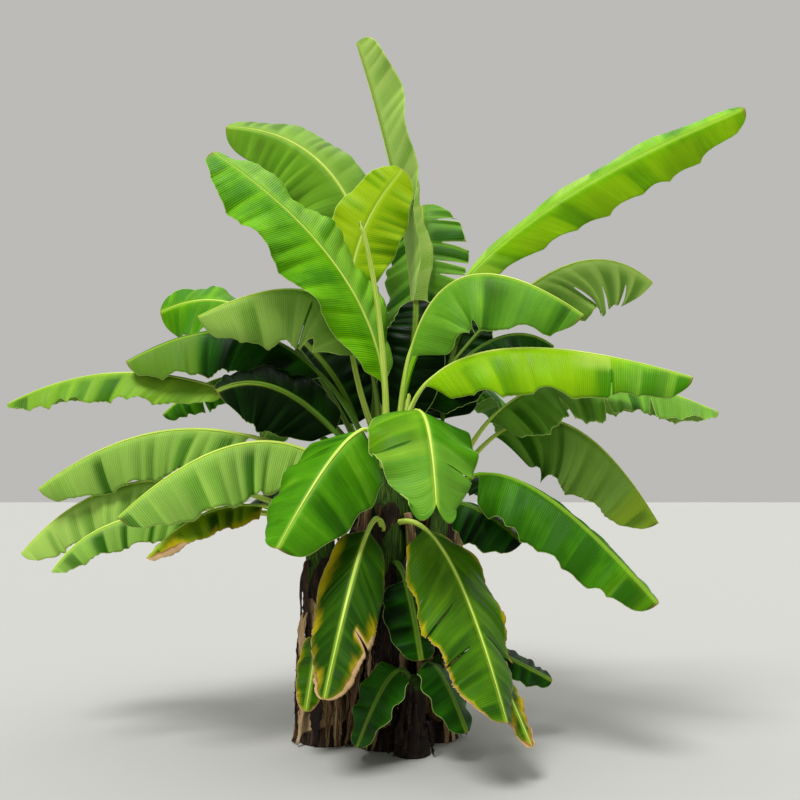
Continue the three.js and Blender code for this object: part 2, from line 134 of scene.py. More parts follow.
# What a leaf has where its row in the table below says nothing
USUAL = {
    "tint": "green",
    "tears": (),  # shares of the blade's length, the solids' own first, below 0 in the left half
    "opening": 1.0,  # how far they open, as a share of the usual; below 1 they are narrow slits
    "slant": 0.1,  # share of the length that a side vein runs forward on its way to the margin
    "ruffle": 1.0,  # how much of the lobes, creases and ripples it has
    "scallops": (),  # wide ones with a point between two, as the lobes below
    "passed": 0.0,  # share of the length by which two lobes pass the end of the midrib
    "deep": 0.0,  # how much painted shade darkens it below its tint; below 0 it is painted light
    "bloom": 0.0,  # how thick its pale wax is
    "glow": 0.0,  # how much painted glow it has, as of light coming through it
    "margin": 1.0,  # how wide its pale, yellow or brown margin is
    "veins": 0.6,  # how clearly the side veins show
    "sunk": False,  # whether its midrib hardly shows
    "shaded": False,  # whether its stalk gets painted shade, darker than its midrib, for lying deep in the clump
}
TRAITS = {
    "tall_spear": dict(tint="fresh", ruffle=0.25, bloom=0.95, veins=1.5),
    "high_left": dict(tint="fresh", ruffle=0.5, deep=0.2, veins=1.3),
    "high_glow": dict(tint="fresh", ruffle=0.3, glow=0.85, veins=0.9),
    "high_right": dict(tint="fresh", ruffle=0.35, scallops=(0.7, 1.2, 0.16), glow=0.2, sunk=True),
    "furled": dict(tint="fresh"),
    "right_arch": dict(ruffle=0.55, scallops=(0.45, 0.8, 0.12), deep=-0.1, bloom=0.1),
    "left_grey": dict(
        tears=(-0.42,), opening=0.25, scallops=(0.4, 0.8, 0.05), deep=-0.1, bloom=0.5, veins=1.2, shaded=True
    ),
    "right_bright": dict(
        tint="fresh", tears=(0.72,), opening=0.25, ruffle=0.5, scallops=(0.5, 1.0, 0.13), glow=0.45
    ),
    "front_centre": dict(tears=(0.45, -0.62), opening=0.3, slant=0.22, ruffle=0.5, passed=0.1, deep=-0.05),
    "front_left": dict(slant=0.22, ruffle=0.45),
    "left_dark": dict(tint="shade", scallops=(0.4, 0.8, 0.05)),
    "left_far": dict(scallops=(0.4, 0.9, 0.1), deep=-0.15, bloom=0.15, glow=0.2, shaded=True),
    "left_shade": dict(tint="shade", deep=0.6),
    "left_low_top": dict(deep=-0.15, bloom=0.4, veins=1.1),
    "left_low_middle": dict(deep=-0.1, bloom=0.4, veins=1.1),
    "fallen_left": dict(tint="old", tears=(-0.55,), slant=0.4, ruffle=0.6, deep=0.4, margin=0.8),
    "fallen_right": dict(
        tint="old", tears=(-0.6, 0.65, 0.42), opening=0.3, slant=0.32, ruffle=0.5, deep=-0.2, margin=0.35
    ),
    "fallen_inner": dict(tint="shade", ruffle=0.6, margin=0.5),
    "fallen_tip": dict(tint="old"),
    "left_low_far": dict(deep=-0.5, bloom=0.45, veins=1.1),
    "left_low_end": dict(bloom=0.4),
    "left_low_brown": dict(tint="old", glow=0.4, margin=0.6),
    "left_foot": dict(tint="old", margin=0.4),
    "right_ragged": dict(tears=(0.3, 0.5, 0.7), bloom=0.2),
    "right_low_back": dict(slant=0.22, deep=-0.3, bloom=0.3),
    "right_low_front": dict(ruffle=0.6, scallops=(0.4, 0.8, 0.1), deep=0.6, sunk=True),
    "right_old": dict(tint="shade"),
    "heart_right": dict(tint="shade", deep=0.4),
    "right_foot": dict(tint="shade", margin=0.5),
    "back_low_right": dict(tint="shade", tears=(-0.5,)),
    "high_left_back": dict(ruffle=0.35, bloom=0.1, glow=0.15, veins=0.7, shaded=True),
    "high_torn": dict(
        tears=(0.3, 0.5, 0.7, 0.13, 0.4, 0.58, 0.86), opening=1.5, slant=-0.16, bloom=0.15, shaded=True
    ),
    "right_torn": dict(tears=(0.3, 0.55, 0.8), opening=2.2, slant=0.35, deep=-0.5, bloom=0.5, shaded=True),
    "right_inner": dict(tint="shade", tears=(0.4,)),
    "left_bright": dict(tint="fresh", ruffle=0.4, deep=0.5, glow=0.2, shaded=True),
    "left_ragged": dict(tears=(-0.4, -0.7), shaded=True),
    "centre_dark": dict(tint="shade", deep=0.6),
    "heart_left": dict(tint="shade", deep=0.4),
    "back_high": dict(tears=(0.4, -0.6)),
    "back_left": dict(tears=(0.4, -0.6)),
    "back_right": dict(tears=(0.5, -0.4)),
    "back_low": dict(tint="shade", tears=(0.6, -0.5)),
    "back_low_left": dict(tint="shade", tears=(0.5,)),
    "pup_left": dict(tint="shade", ruffle=0.4, deep=-0.35, margin=0.5),
    "pup_right": dict(tint="shade", ruffle=0.4, deep=-0.35, margin=0.5),
}
# Parts of a leaf that differ from the rest of it: half, or 0 for both, mark that changes, part of the
# length, part of the half-blade from the midrib outwards, and what is added to the mark
# Most of these parts are painted light and shade on the blade.
PATCHES = {
    "right_bright": (
        (1, "fold", (0.7, 0.71), (0.35, 1), 0.8),
        (1, "bloom", (0.64, 0.71), (0, 0.35), 0.6),
        (1, "fold", (0.8, 1), (0, 1), 0.35),
        (1, "glow", (0.8, 1), (0, 1), -0.4),
        (1, "bloom", (0.8, 1), (0, 1), 0.25),
    ),
    "right_arch": ((1, "fold", (0.93, 0.94), (0, 1), 0.8),),
    "high_right": (
        (-1, "bloom", (0, 0.12), (0.2, 1), 0.3),
        (-1, "bloom", (0, 0.3), (0.2, 1), 0.25),
        (-1, "bloom", (0.42, 0.5), (0.3, 1), 0.6),
        (-1, "bloom", (0.62, 0.68), (0.4, 1), 0.45),
        (1, "glow", (0, 1), (0.3, 1), 0.25),
        (1, "bloom", (0, 0.14), (0, 1), 0.3),
    ),
    "left_dark": (
        (0, "fold", (0.66, 1), (0, 1), -1.5),
        (0, "glow", (0.68, 1), (0, 1), 0.05),
        (0, "bloom", (0.68, 1), (0, 1), 0.05),
    ),
    "high_left": ((1, "bloom", (0, 1), (0, 1), 0.3),),
    "high_left_back": ((1, "bloom", (0, 1), (0, 1), 0.25),),
    "left_low_brown": ((0, "edge", (0.75, 1), (0, 1), -0.03),),
    "right_low_back": ((0, "fold", (0, 0.35), (0, 1), 0.5), (0, "glow", (0.85, 1), (0, 1), 0.45)),
    "right_low_front": ((0, "fold", (0.6, 1), (0, 1), -0.2), (0, "glow", (0.85, 1), (0, 1), 0.2)),
    "front_centre": ((1, "glow", (0.1, 0.6), (0.15, 1), 0.22), (0, "bloom", (0.5, 1), (0, 1), 0.12)),
    "fallen_left": (
        (-1, "edge", (0, 0.25), (0, 1), 0.04),
        (-1, "edge", (0.45, 1), (0.3, 1), -0.018),
        (1, "edge", (0.86, 1), (0.3, 1), -0.014),
    ),
}
PATCH_EASE = (0.08, 0.01)  # shares of the length over which such a part comes in and ends
PATCH_SIDE = 0.1  # share of the half-blade over which its sides come in

# Grid of a half-blade
LEAF_SEED, STEM_SEED = 1000, 500
CURVE_POINTS = 401
STATION = 5.5  # mm between two rows
STATIONS = (70, 230)  # least and most rows
CROWD = 0.75  # how much closer the rows lie near a blade's two ends
COLUMNS = 9  # from the midrib to the margin
COLUMN_CROWD = 1.25  # above 1 the columns lie closer near the margin
FIRST, LAST = 0.012, 0.99999  # shares of the blade's length that its grid runs between
SLANT_START = 0.25  # share of the length over which the side veins come to their full slant
BLADE_THICKNESS = 1.3
BLADE_UVS = 5  # columns of the unit square for two halves, two undersides and the midrib
BLADE_WALL_UV, STRIP_WALL_UV = 0.004, 0.001
UV_SIDE, UV_END = 0.06, 0.01  # what a column leaves free
TINY = 1e-6

# Lobes of a margin, with a crease from each notch between two of them to the midrib
LOBES = (0.2, 0.55, 0.1)  # least and most along the blade, and how far they come in, of the half-blade
LOBE_HALF = 190  # mm, the narrowest half-blade that these shares are taken of
LOBE_HEIGHT = 0.12  # how far a lobe rises at the margin, as a share of the half-blade
LOBE_RISES = (0.35, 1)  # least and most that a lobe takes of that
LOBE_LEANS = (0.5, 1.1)  # above 1 a lobe leans towards the tip
LOBE_SINK = 0.6  # share of its height by which a lobe's ends hang below the blade
NOTCH_POWERS = (1.5, 0.7, 3)  # how rare deep notches are, how narrow, and how close to the margin
LOBE_SHADE = (0.12, 0.35)  # where the painted shade in a lobe's crease is full and where it begins to fade
SHADE_START = 0.35  # share of the half-blade over which that painted shade comes in
CREASE_GROWTH = 0.9  # above 1 the creases fade sooner towards the midrib
CALM_WIDTH = 0.3  # share of the width below which creases and ripples shrink
RIPPLES = ((46, 2.2), (23, 0.8))  # smaller folds: distance between two and height in mm
WANDERS = ((1.6, 3.7), (0.9, 7.9))  # radians by which they wander, and over how many of them
CRISP = (0.021, 0.077)  # how ragged the margin of an old leaf is at its base and its tip
CRISP_WAVES = (97, 3, 41)  # how often it is ragged, and how far and how often that wanders
NOTCHED_FROM = (0.5, 0.6)  # where a notched tip begins to narrow and its lobes to grow
NOTCHED_ROUND = 0.8  # lower makes those lobes blunter

# Slits that the tears go on as
SLIT_DEPTH = (0.28, 0.46)  # share of the half-blade that they come down to
SLIT_REACH = 0.03  # share of the length over which a blade gives way beside one
SLIT_CURVE = 1.2  # above 1 its sides curve outwards
SLIT_ROOM, SLIT_ROW = 0.0015, 0.0006  # shares of the length: to other rows and to its own two
SLIT_SHADOW = 4  # mm to each side of a narrow slit that its painted shadow darkens
# how dark the painted shadow along a narrow slit is
SLIT_DARKNESS = 2
STRIP_DROOPS = (-5.6, 14)  # degrees that the strips between two hang lower
DROOP_END = 1.6  # share of the half-blade at which the droop would be full

# Midribs and stalks
RIB_SIDES = 14
RIB_STATION = 12
RIB_STATIONS = 24  # least
RIB_END = 0.14  # share of its width that the midrib keeps at the tip
RIB_TAPER = 0.9  # lower narrows it sooner
RIB_SHARE = 0.9  # of the stalk's width that it starts with
RIB_RISE = (1.9, 1.0)  # mm above the blade at its base and its tip
RIB_KEEL = (2 + 0.75 * RIB_DEPTH, 2)  # the same below it
CHANNEL = 0.55  # depth of the channel along a stalk's upper side, as a share of its radius
CHANNEL_WIDTH = 0.45
SUNK_SHARE = 0.3  # how much of its width and height a sunk midrib has

# Stems and the leaf sheaths that wrap them
STEM_SIDES = 132
STEM_STATION = 7
STEM_UV = 0.9  # share of the unit square's height, below the two caps
CAP_UVS = (0.03, (0.2, 0.95), (0.4, 0.95))  # radius and middles
CORE_AGE, CORE_TONE = 0.2, 0.5
SHEATH = 3.4  # mm that one leaf sheath adds to the stem
SHEATH_SPREAD = (0.2, 2.9)  # radians that a sheath wraps to each side at its top and at the ground
SHEATH_NARROWS = 2.4  # higher keeps the sheath wide for longer
SHEATH_TWIST = 0.35  # radians from the ground to the crown
SHEATH_EDGES = ((0.05, 23, 5), (0.03, 9, 1))  # waves: radians, mm and how much they differ by the angle
SHEATH_EASE = 0.08  # radians over which its edge comes in
SHEATH_LIP = 14  # mm over which its top does
DEAD_SHEATHS = 11
DEAD_TOPS = (0.1, 0.82)  # shares of the height where the lowest and the highest end
DEAD_SPREAD = (0.9, 1.1)  # least and most that each has of that
DEAD_FRESHENS = (0.35, 3)  # how much fresher the highest are, and how late that comes
FRESH_AGE = 0.25  # of the sheaths that carry leaves
GOLDEN = math.radians(137.5)
FIBRE = 0.65  # mm that the dried fibres stand out
FIBRE_COUNTS = (41, 23)
FIBRE_BENDS = (2, 160, 90)  # how far and over how many mm one bends, and mm a radian that one slants

# Dead leaves that hang on the stems, in mm, with the least and the most where each has its own
DEAD_STRIPS = {"main": 34, "left": 36, "right": 28, "back": 30, "pup": 16}
STRIP_TONES = {"pup": 0.3}  # how pale its dead leaves and sheaths are, as a share of the usual
USUAL_TOP, USUAL_FOOT = 1200, 95  # height and foot radius of a stem with these sizes
STRIP_STATIONS = 46
STRIP_COLUMNS = 7
STRIP_THICKNESS = 1.2
STRIP_START = (0.24, 0.92)  # share of the stem's height
STRIP_LENGTH = (480, 1150)
STRIP_WIDTH = (24, 125)
STRIP_SLIM = 1.3  # higher makes more slim ones
STRIP_FREE = (8, 3)  # above the ground, for the middle and for the margins
STRIP_BEND = (0.2, 35, 0.08)  # share that rises, how high, and the share from which it turns down
STRIP_OFF = (4, 30, 0.15)  # distance from the stem at the start and after this share
STRIP_AWAY = (-8, 14)  # how much further off its end is
STRIP_WAVE = (6, (5, 9), (0, 6))  # how far, how often and where it begins
STRIP_SWAY = (0.12, (2, 5))
STRIP_SHAPE = (0.45, 0.7)  # share of the width at the start; a lower second one widens it sooner
STRIP_TAPER = (0.6, 4)  # share of the width that its end loses, and how late
STRIP_CREASES = ((3, 9), (2, 5), 9, 31, 3)  # depth, then how often it folds each way
STRIP_TEARS = (0.25, 47, 2)  # how deep, and how often along and across
STRIP_TURN = 0.9  # radians
STRIP_DIP = (0.2, 7)  # how steep it lies to one side, and how often that changes
STRIP_AROUND = 60  # mm that its look takes as a radian round a stem

# Colours as they look on screen
# The shade tint is painted shade: darker greens for leaves that lie in the shade of the clump
TINTS = {  # deep, middle and bright green of the upper side, then the same of the underside
    "fresh": ((0x3A7C02, 0x6CB202, 0xA2D61A), (0x5C9E08, 0x88C014, 0xB2D84C)),
    "green": ((0x285C06, 0x488A0A, 0x78B224), (0x44791A, 0x6C9C38, 0x90BA5C)),
    "shade": ((0x061A02, 0x164404, 0x2C680C), (0x10280A, 0x204E0E, 0x346C1C)),
    "old": ((0x1C4004, 0x386406, 0x609010), (0x305610, 0x4C7420, 0x6C8E38)),
}
BLOOM_COLOUR = 0xB2D068  # the pale wax on some leaves
GLOW_COLOUR = 0x98B40C  # painted glow of young leaves that the light comes through
RIB_COLOURS = (0xAACC40, 0xD6E870)
# Painted shade: midribs of leaves in the shade, and stalks deep in the clump
SHADED_RIB_COLOURS = (0x3C6414, 0x5F8C24)
SUNK_RIB_COLOURS = (0x6EAE06, 0x84BE10)
MARGIN_COLOUR = 0xB8D070
YELLOW = 0xBCA810
BROWN = 0x946C3C
CRISP_COLOUR = 0xC8AA7C  # the outermost rim of an old leaf
SHEATH_COLOURS = (0x1C130D, 0x4C3522, 0x8A6C48, 0xB79C74)
SHEATH_GREEN = (0x223C0C, 0x4E6E20)
FLOOR_COLOUR = 0xAEAEAA

# What the materials read from the meshes
LEAF_MARKS = ("vein", "rib", "edge", "blade", "tone", "fold", "veins", "bloom", "glow")
STEM_MARKS = ("up", "around", "age", "tone")

# Blade look, in metres: scale, detail and share of noises, and pairs between which a thing comes in
HALVES_APART = 3.1  # so that the streaks of the two halves differ
LEAVES_APART = 9
STREAK_STRETCH = 0.12
BANDS, STRIPES, CLOUDS = (17, 2, 0.26), (70, 3, 0.12), (5, 3, 0.34)
EVENNESS = 0.14
VEIN_DISTANCE = 0.01
VEIN_SHARES = (0.055, 0.12, 0.25)  # in the green, in wax and glow, and in the relief
PAINTED_SHADE_SHARES = (0.28, 1.1)  # shares of the painted shade in the green, and in wax and glow
MIDDLE_RISE, BRIGHT_RISE = (0.26, 0.52), (0.48, 0.72)
BY_RIB, BY_RIB_SHARE = (0.018, 0.006), 0.4
WORN = (9, 3)
YELLOW_WORN, YELLOW_DEPTH, YELLOW_RISE = (0.35, 0.75), 0.07, (0.04, -0.06)
BROWN_WORN, BROWN_DEPTH, BROWN_RISE = (0.2, 0.7), 0.034, (0.005, -0.006)
BROWN_TIP = (0.55, 1)
CRISP_RISE = (0.012, -0.002)
NIB_RISE, NIB_SHARE = (0.985, 1), 0.6
RIM_RISE, RIM_SHARE, RIM_WORN = (0.0055, 0.0015), 0.75, 0.35
SHINE = (-0.4, 1.6)
BLADE_SPECULAR, BLADE_RELIEF = 0.06, 0.0011

# Midrib look: stretch along and around, and scale of each noise
RIB_ROUGHNESS, RIB_SPECULAR, RIB_RELIEF = 0.45, 0.2, 0.0006
RIB_FIBRES, RIB_LINES = (0.6, 2, 9), (0.3, 6, 12)
RIB_PALE = (0.35, 0.65)
# how much painted shade darkens a stalk deep in the clump
STALK_SHADE = 0.85

# Sheath look: the same, with the detail and the share of each
SHEATH_ROUGHNESS, SHEATH_SPECULAR, SHEATH_RELIEF = 0.82, 0.25, 0.004
SHEATHS_APART = 7
SHEATH_FIBRES, SHEATH_BLOTS = (0.5, 0.9, 26, 5, 0.7), (3, 1, 2.2, 4, 0.3)
SHEATH_PALE, SHEATH_DARK = (1.6, 0.5), 0.2
SHEATH_RISES = ((0.36, 0.48), (0.46, 0.6), (0.58, 0.72))  # to each colour after the first
SHEATH_GREENS, SHEATH_AGES = (0.4, 0.65), (0.75, 0.3)

# Studio
PICTURE, FOCAL = 800, 868  # width of the picture and focal length in pixels
SENSOR = 36  # mm
HORIZON = 100  # pixels that the level line lies below the picture's middle
CAMERA_PLACE = (0.065, -4.05, 1.08)
CAMERA_PITCH = math.atan(HORIZON / FOCAL)
LENS = SENSOR * FOCAL / PICTURE
LIGHTS = {  # where it comes from, how wide it looks in degrees, and strength
    "key": ((-0.3, -0.55, 1.0), 22, 2.7),
    "sky": ((0.1, 0.05, 1.0), 70, 1.1),
    "back": ((0.6, 0.8, 0.7), 50, 0.3),
}
SKY_COLOUR, SKY_STRENGTH = (1, 0.99, 0.96, 1), 0.5
FLOOR_HALF, FLOOR_ROUGHNESS = 400, 0.9
MIX_INPUTS, MIX_OUTPUT = (6, 7), 2  # the sockets of Blender's mix node that hold colours


def smooth(value, low, high):
    """0 below low, 1 above high and a smooth rise between them."""
    share = np.clip((value - low) / (high - low), 0, 1)
    return share * share * (3 - 2 * share)


def between(ends, share):
    """The first of two ends where share is 0, and the second where it is 1."""
    return ends[0] + (ends[1] - ends[0]) * share


def unit(vectors):
    return vectors / np.linalg.norm(vectors, axis=-1, keepdims=True)


def linear(code):
    """A screen colour as Blender wants it."""
    channels = [(code >> shift & 255) / 255 for shift in (16, 8, 0)]
    return [c / 12.92 if c <= 0.04045 else ((c + 0.055) / 1.055) ** 2.4 for c in channels] + [1.0]


def stem_at(stem, height):
    """Middle and radius of a stem at a height, or at an array of heights."""
    foot, lean, top, radii = STEMS[stem]
    share = np.asarray(height) / top
    flare = 1 + FLARE * np.exp(-np.asarray(height) / FLARE_HEIGHT)
    centre = np.stack([foot[0] + lean[0] * share, foot[1] + lean[1] * share, share * top], -1)
    return centre, between(radii, share) * flare


def outline(share, lean):
    """Half the width of a blade at a share of its length, as a share of its widest half."""
    return np.sin(np.pi * share**lean) ** FULLNESS


class Leaf:
    """One row of the table with its traits and the curve of its midrib."""

    def __init__(self, stem, row):
        self.name, self.height, over, tip, self.stalk, self.width = row[:6]
        self.lean, self.roll, self.twist, self.folds = row[6:]
        vars(self).update(USUAL | TRAITS[self.name])
        centre, radius = stem_at(stem, self.height)
        at_crown = self.height == STEMS[stem][2]
        over, self.tip = np.array(over, float), np.array(tip, float)
        out = unit((over - centre) * (1, 1, 0))
        self.start = centre + out * radius * (CROWN_SHARE if at_crown else SIDE_SHARE)
        self.start[2] -= STALK_RADIUS * at_crown
        self.pull = 2 * over - (self.start + self.tip) / 2
        self.turns = np.linspace(0, 1, CURVE_POINTS)
        steps = np.linalg.norm(np.diff(self.point(self.turns), axis=0), axis=1)
        self.travelled = np.concatenate([[0], np.cumsum(steps)])
        self.length = self.travelled[-1]
        self.blade_length = self.length * (1 - self.stalk)

    def point(self, turn):
        turn = turn[..., None]
        back, ahead = (1 - turn) ** 2, turn**2
        return self.start * back + self.pull * 2 * turn * (1 - turn) + self.tip * ahead

    def frame(self, along):
        """Place, right-hand side and upward normal at shares of the length."""
        turn = np.interp(along * self.length, self.travelled, self.turns)
        t = turn[..., None]
        ahead = unit((self.pull - self.start) * (1 - t) + (self.tip - self.pull) * t)
        heading = unit((self.tip - self.start) * (1, 1, 0))
        level = np.cross(heading, (0, 0, 1))
        side = unit(level - ahead * (ahead @ level)[..., None])
        blade = np.clip((along - self.stalk) / (1 - self.stalk), 0, 1)
        roll = -np.radians(self.roll + self.twist * (blade - 0.5))[..., None]
        side = side * np.cos(roll) + np.cross(ahead, side) * np.sin(roll)
        return self.point(turn), side, np.cross(side, ahead)


def ripples(distance, share, seed):
    """Height of the smaller folds at a distance along the blade and a share of the half-blade."""
    lift = 0
    for length, height in RIPPLES:
        first, *others = seed.uniform(0, 2 * np.pi, 1 + len(WANDERS))
        phase = 2 * np.pi * distance / length
        wander = sum(far * np.sin(phase / over + other) for (far, over), other in zip(WANDERS, others))
        lift = lift + height * share * np.sin(phase + first + wander)
    return lift


def lobes(leaf, places, seed):
    """For each place: how far the margin comes in, how high it rises, and its crease's painted shade."""
    slenderness = leaf.blade_length / max(leaf.width / 2, LOBE_HALF)
    shortest, longest, deepest = leaf.scallops or LOBES
    count = int(slenderness / shortest) + 2
    ends = np.cumsum(seed.uniform(shortest, longest, count)) / slenderness
    depth = deepest * seed.uniform(0, 1, count) ** NOTCH_POWERS[0]
    height = seed.uniform(*LOBE_RISES, count)
    lean = seed.uniform(*LOBE_LEANS, count)
    shade = seed.uniform(0, 1, count)
    starts = np.concatenate([[0], ends[:-1]])
    lobe = np.minimum(np.searchsorted(ends, places), count - 1)
    within = np.clip((places - starts[lobe]) / (ends - starts)[lobe], 0, 1)
    bulge = np.abs(np.sin(np.pi * within ** lean[lobe]))
    rise = height[lobe] * (bulge - LOBE_SINK)
    dark = shade[lobe] * smooth(within, 0, LOBE_SHADE[0]) * (1 - smooth(within, LOBE_SHADE[1], 1))
    if leaf.scallops:
        return deepest * height[lobe] * bulge, rise, dark
    notch = np.where(within < 0.5, depth[np.maximum(lobe - 1, 0)], depth[lobe])
    return leaf.ruffle * notch * (1 - bulge ** NOTCH_POWERS[1]), rise, dark


def slits_of(leaf, sign, seed):
    """Place and inner end of each slit in one half of a blade."""
    return sorted((abs(tear), seed.uniform(*SLIT_DEPTH)) for tear in leaf.tears if np.sign(tear) == sign)


def grid_of(leaf, slits):
    """Rows along a half-blade, two of them at each slit, and columns out from the midrib."""
    even = np.linspace(0, 1, int(np.clip(leaf.blade_length / STATION, *STATIONS)))
    rows = between((FIRST, LAST), even - CROWD * np.sin(2 * np.pi * even) / (2 * np.pi))
    for place, _ in slits:
        rows = rows[np.abs(rows - place) > SLIT_ROOM]
        rows = np.concatenate([rows, [place - SLIT_ROW, place + SLIT_ROW]])
    columns = 1 - (1 - np.linspace(0, 1, COLUMNS)) ** COLUMN_CROWD
    return np.sort(rows)[:, None], columns[None, :]


def tear_open(leaf, w, t, slits):
    """Where the grid lies along the blade, how far that is from a slit, and which of its quads are there."""
    blade = w + leaf.slant * smooth(w, 0, SLANT_START) * (1 - w) * t
    apart = np.ones(blade.shape)
    kept = np.ones((len(w) - 1, COLUMNS - 1), bool)
    middle = (t[0, 1:] + t[0, :-1]) / 2
    for place, inner in slits:
        wide = TEAR_WIDTH * leaf.opening * np.clip((t - inner) / (1 - inner), 0, 1) ** SLIT_CURVE
        away = w - place
        blade = blade + wide * np.sign(away) * np.exp(-((away / SLIT_REACH) ** 2))
        apart = np.minimum(apart, np.where(t > inner, np.abs(away), 1))
        kept[np.searchsorted(w[:, 0], place) - 1] = middle < inner
    return np.clip(blade, 0, 1), apart, kept


def margin_of(leaf, w, t, notch):
    """Share of the width by which the grid comes in; old leaves have a ragged margin."""
    inward = notch * t ** NOTCH_POWERS[2]
    if leaf.tint == "old":
        often, wander, over = CRISP_WAVES
        ragged = np.abs(np.sin(w * often + wander * np.sin(w * over)))
        inward = inward + between(CRISP, w**2) * t ** NOTCH_POWERS[2] * ragged
    return inward


def hang(leaf, sign, w, t, slits, seed):
    """Angle by which a half-blade hangs, uneven from strip to strip between its slits."""
    strips = np.searchsorted([place for place, _ in slits], w[:, 0])
    droops = np.radians(seed.uniform(*STRIP_DROOPS, strips.max() + 1) * (strips.max() > 0))
    angle = math.radians(leaf.folds[0 if sign > 0 else 1]) * (1 - CURL + CURL * t)
    return angle + droops[strips][:, None] * smooth(t, TEAR_DEPTH, DROOP_END)


def patch(leaf, sign, w, t, marks):
    """Adds to the marks in the parts of a leaf that differ."""
    for half, name, (first, last), (inner, outer), amount in PATCHES.get(leaf.name, ()):
        lengthwise = smooth(w, first - PATCH_EASE[0], first) * (1 - smooth(w, last, last + PATCH_EASE[1]))
        crosswise = smooth(t, inner - PATCH_SIDE, inner) * (1 - smooth(t, outer, outer + PATCH_SIDE))
        marks[name] = marks[name] + amount * (half in (0, sign)) * lengthwise * crosswise


def column_uv(column, columns, across, along):
    """Places in one of several upright columns of the unit square."""
    u = (column + between((UV_SIDE, 1 - UV_SIDE), across)) / columns
    return np.stack(np.broadcast_arrays(u, between((UV_END, 1 - UV_END), along)), -1)


def sheet(points, sign, spare, thickness, kept):
    """Both sides of a closed thin sheet round a grid of points, and its quads. It faces as spare does
    where the grid has no area."""
    facing = np.cross(np.gradient(points, axis=1), np.gradient(points, axis=0))
    half = unit(facing * sign + spare) * thickness / 2
    index = np.arange(points[..., 0].size).reshape(points.shape[:2])
    corners = [index[:-1, :-1], index[:-1, 1:], index[1:, 1:], index[1:, :-1]]
    top = np.stack([c[kept] for c in corners], -1)
    if sign < 0:
        top = top[:, ::-1]
    edges = np.concatenate([top[:, [k, (k + 1) % 4]] for k in range(4)])
    key = edges[:, 0] * index.size + edges[:, 1]
    back = edges[:, 1] * index.size + edges[:, 0]
    rim = edges[~np.isin(key, back)]
    walls = np.stack([rim[:, 1], rim[:, 0], rim[:, 0] + index.size, rim[:, 1] + index.size], -1)
    return np.stack([points + half, points - half]), (top, top[:, ::-1] + index.size, walls)


def sheet_groups(faces, uvs, wall_uv, under_slot):
    """The faces of a sheet with the uvs of their corners and their material slots."""
    top, under, walls = faces
    both = np.concatenate([side.reshape(-1, 2) for side in uvs])
    wall_uvs = both[walls % (len(both) // 2)]
    wall_uvs[:, 2:, 0] += wall_uv
    return [(top, both[top], 0), (under, both[under], under_slot), (walls, wall_uvs, 0)]


def tube(along, sides, column, columns, flip=False):
    """Quads of a tube through rings of points, the uvs of their corners, its end rings and all uvs."""
    around = np.arange(sides + 1) / sides
    uv = column_uv(column, columns, around, along[:, None])
    index = np.arange(len(along) * sides).reshape(len(along), sides)
    after = np.roll(index, -1, axis=1)
    order = [0, 3, 2, 1] if flip else [0, 1, 2, 3]
    quads = np.stack([index[:-1], after[:-1], after[1:], index[1:]], -1)[..., order].reshape(-1, 4)
    uvs = np.stack([uv[:-1, :-1], uv[:-1, 1:], uv[1:, 1:], uv[1:, :-1]], 2)[:, :, order]
    ends = [index[0], index[-1][::-1]] if flip else [index[0][::-1], index[-1]]
    return quads, uvs, ends, uv


def add_object(name, data):
    made = bpy.data.objects.new(name, data)
    bpy.context.scene.collection.objects.link(made)
    return made


class Pieces:
    """Gathers vertices, faces and what the materials read from them, and makes one mesh of it all."""

    def __init__(self, marks):
        self.vertices, self.faces, self.uvs, self.slots = [], [], [], []
        self.marks = {name: [] for name in marks}
        self.count = 0

    def add(self, points, groups, marks):
        """groups holds (faces, uvs of their corners, material slot), and marks a number for each point."""
        for faces, uvs, slot in groups:
            self.faces += (np.asarray(faces) + self.count).tolist()
            self.uvs.append(np.asarray(uvs, float).reshape(-1, 2))
            self.slots += [slot] * len(faces)
        self.vertices.append(points.reshape(-1, 3) * MM)
        for name, values in self.marks.items():
            values.append(np.broadcast_to(marks.get(name, 0), points.shape[:-1]).ravel())
        self.count += points[..., 0].size

    def make(self, name, materials):
        mesh = bpy.data.meshes.new(name)
        mesh.from_pydata(np.concatenate(self.vertices).tolist(), [], self.faces)
        mesh.polygons.foreach_set("material_index", self.slots)
        mesh.polygons.foreach_set("use_smooth", [True] * len(self.faces))
        mesh.uv_layers.new(name="OFBake").uv.foreach_set("vector", np.concatenate(self.uvs).ravel())
        for mark, values in self.marks.items():
            layer = mesh.attributes.new(mark, "FLOAT", "POINT")
            layer.data.foreach_set("value", np.concatenate(values).astype(np.float32))
        for material in materials:
            mesh.materials.append(material)
        mesh.update()
        return add_object(name, mesh)


